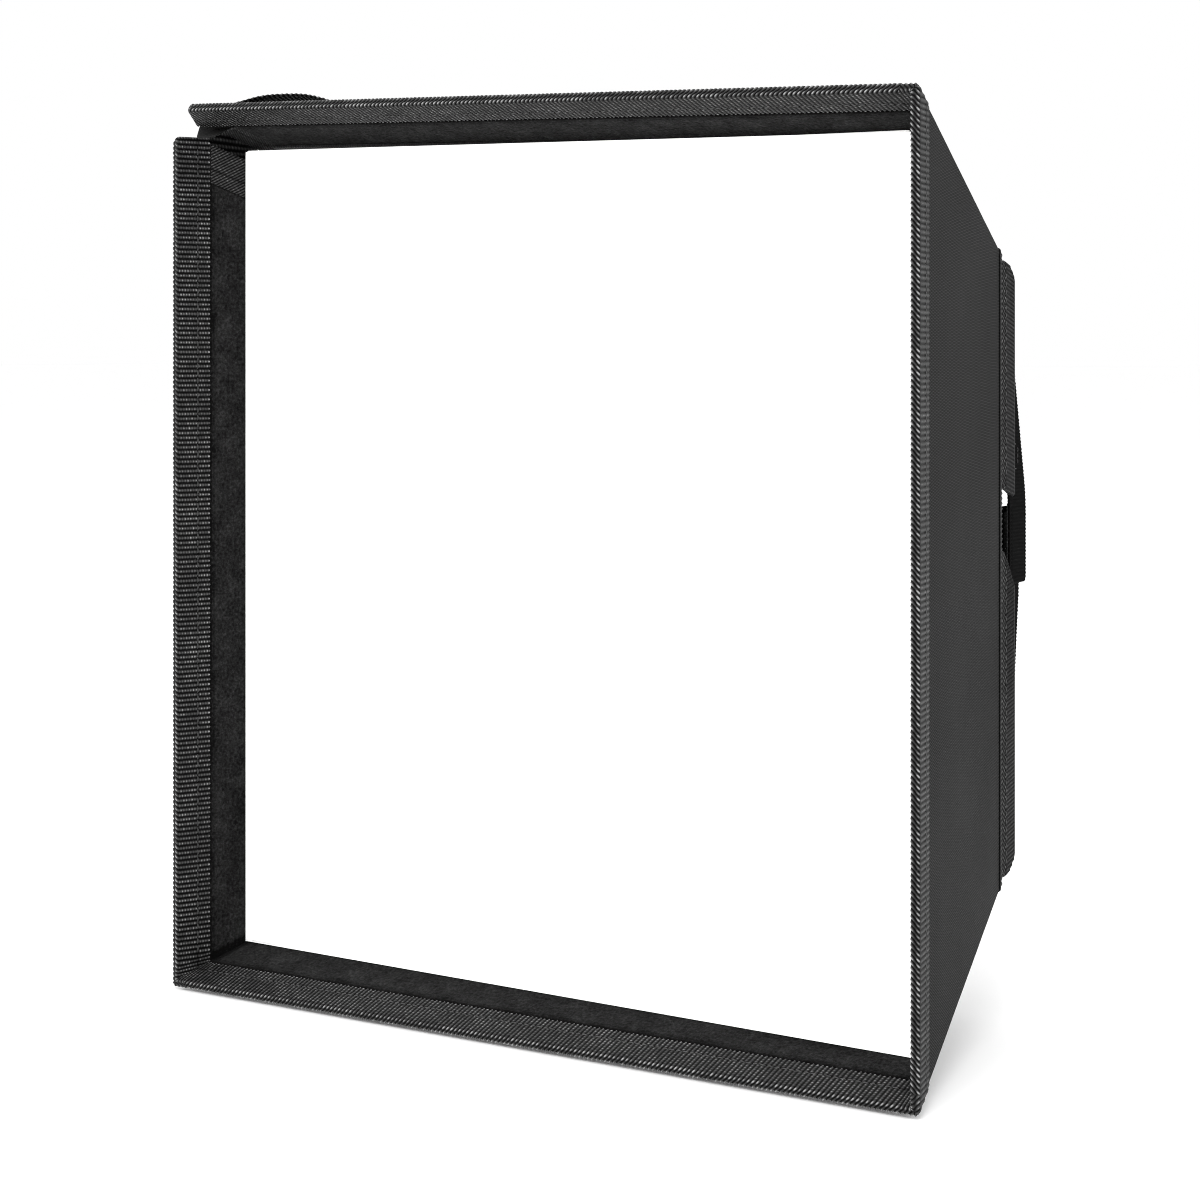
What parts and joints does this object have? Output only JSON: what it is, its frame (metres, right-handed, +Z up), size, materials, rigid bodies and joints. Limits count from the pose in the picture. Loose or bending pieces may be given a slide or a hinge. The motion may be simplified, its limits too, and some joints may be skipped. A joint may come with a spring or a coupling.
{
  "type": "soft barn door hood",
  "caption": "Fabric barn-door hood for a square panel light: stiffened leaves flare from a rear collar to a square rim around a white diffuser; an open corner closes with a strap",
  "frame": {"origin": "centre of the bounding box at rest", "axes": "-Y is the way the light shines (the square rim faces -Y), +Y is towards the light, +Z is up, +X is the right-hand side seen from the front"},
  "size_m": [0.3634, 0.1786, 0.3744],
  "materials": {
    "oxford_cloth": "plain-weave coated polyester, near black",
    "binding_webbing": "ribbed herringbone binding webbing, near black",
    "strap_webbing": "ribbed polyester webbing, near black",
    "loop_pile": "brushed loop pile, matte black",
    "hook_tape": "woven hook tape, black",
    "silver_lining": "silver-coated lining cloth, soft sheen",
    "stiffener_sheet": "thin semi-rigid plastic sheet",
    "diffuser_cloth": "white translucent diffusion cloth"
  },
  "bodies": {
    "leaf_bottom": {"outer_cover_bottom": "oxford_cloth", "stiffener_board_bottom": "stiffener_sheet", "inner_lining_bottom": "silver_lining", "loop_tape_bottom": "loop_pile", "rim_binding_bottom": "binding_webbing", "corner_fold_bottom_right": "oxford_cloth", "corner_fold_bottom_left": "oxford_cloth", "collar_flap_bottom": "binding_webbing"},
    "leaf_right": {"outer_cover_right": "oxford_cloth", "stiffener_board_right": "stiffener_sheet", "inner_lining_right": "silver_lining", "loop_tape_right": "loop_pile", "rim_binding_right": "binding_webbing", "corner_fold_top_right": "oxford_cloth"},
    "leaf_top": {"outer_cover_top": "oxford_cloth", "stiffener_board_top": "stiffener_sheet", "inner_lining_top": "silver_lining", "loop_tape_top": "loop_pile", "rim_binding_top": "binding_webbing", "seam_binding_top": "binding_webbing", "corner_loop_patch": "loop_pile"},
    "leaf_left": {"outer_cover_left": "oxford_cloth", "stiffener_board_left": "stiffener_sheet", "inner_lining_left": "silver_lining", "loop_tape_left": "loop_pile", "rim_binding_left": "binding_webbing", "seam_binding_left": "binding_webbing", "corner_strap_sewn_end": "strap_webbing"},
    "flap_top": {"collar_flap_top": "binding_webbing"},
    "corner_strap": {"corner_strap": "strap_webbing", "corner_hook_pad": "hook_tape"},
    "diffuser": {"diffuser_sheet": "diffuser_cloth", "diffuser_hook_tape_bottom": "hook_tape", "diffuser_hook_tape_right": "hook_tape", "diffuser_hook_tape_top": "hook_tape", "diffuser_hook_tape_left": "hook_tape"},
    "flap_right_upper": {"collar_flap_right_upper": "binding_webbing", "retaining_strap_right_upper": "strap_webbing"},
    "flap_right_lower": {"collar_flap_right_lower": "binding_webbing", "retaining_strap_right_lower": "strap_webbing", "retaining_loop_pad_right": "loop_pile"},
    "tongue_right": {"retaining_tongue_right": "strap_webbing", "retaining_hook_pad_right": "hook_tape"},
    "flap_left_upper": {"collar_flap_left_upper": "binding_webbing", "retaining_strap_left_upper": "strap_webbing"},
    "flap_left_lower": {"collar_flap_left_lower": "binding_webbing", "retaining_strap_left_lower": "strap_webbing", "retaining_loop_pad_left": "loop_pile"},
    "tongue_left": {"retaining_tongue_left": "strap_webbing", "retaining_hook_pad_left": "hook_tape"}
  },
  "joints": [
    {"name": "leaf_right_fold", "type": "hinge", "parent": "leaf_bottom", "child": "leaf_right", "pos_m": [0.18172, -0.08804, -0.1872], "axis": [-0.2834, 0.8976, 0.3376], "range_deg": [0, 78]},
    {"name": "leaf_top_fold", "type": "hinge", "parent": "leaf_right", "child": "leaf_top", "pos_m": [0.18172, -0.08804, 0.1728], "axis": [-0.2834, 0.8976, -0.3376], "range_deg": [0, 78]},
    {"name": "leaf_left_fold", "type": "hinge", "parent": "leaf_bottom", "child": "leaf_left", "pos_m": [-0.17828, -0.08804, -0.1872], "axis": [-0.2834, -0.8976, -0.3376], "range_deg": [0, 78]},
    {"name": "diffuser_lift_off", "type": "slide", "parent": "leaf_bottom", "child": "diffuser", "axis": [0, -1, 0], "range_m": [0, 0.08]},
    {"name": "corner_strap_peel", "type": "hinge", "parent": "leaf_left", "child": "corner_strap", "pos_m": [-0.16981, -0.05874, 0.128], "axis": [-0.3011, -0.9536, 0], "range_deg": [0, 110]},
    {"name": "flap_top_fold", "type": "hinge", "parent": "leaf_top", "child": "flap_top", "pos_m": [0.00174, 0.05593, 0.12161], "axis": [0.9995, -0.011, -0.0289], "range_deg": [-4, 60]},
    {"name": "flap_right_fold", "type": "hinge", "parent": "leaf_right", "child": "flap_right_upper", "pos_m": [0.13523, 0.05425, -0.0072], "axis": [0, 0, -1], "range_deg": [-4, 60]},
    {"name": "flap_right_lower_fold", "type": "hinge", "parent": "leaf_right", "child": "flap_right_lower", "pos_m": [0.13523, 0.05425, -0.0072], "axis": [0, 0, -1], "range_deg": [-4, 60]},
    {"name": "tongue_right_peel", "type": "hinge", "parent": "flap_right_upper", "child": "tongue_right", "pos_m": [0.13006, 0.07988, 0.02], "axis": [0.1392, -0.9903, 0], "range_deg": [0, 100]},
    {"name": "flap_left_fold", "type": "hinge", "parent": "leaf_left", "child": "flap_left_upper", "pos_m": [-0.1318, 0.05425, -0.0072], "axis": [0, 0, 1], "range_deg": [-4, 60]},
    {"name": "flap_left_lower_fold", "type": "hinge", "parent": "leaf_left", "child": "flap_left_lower", "pos_m": [-0.1318, 0.05425, -0.0072], "axis": [0, 0, 1], "range_deg": [-4, 60]},
    {"name": "tongue_left_peel", "type": "hinge", "parent": "flap_left_upper", "child": "tongue_left", "pos_m": [-0.12663, 0.07988, 0.02], "axis": [0.1392, 0.9903, 0], "range_deg": [0, 100]}
  ],
  "couplings": [
    {"joint": "flap_right_lower_fold", "follows": "flap_right_fold", "ratio": 1},
    {"joint": "flap_left_lower_fold", "follows": "flap_left_fold", "ratio": 1}
  ]
}
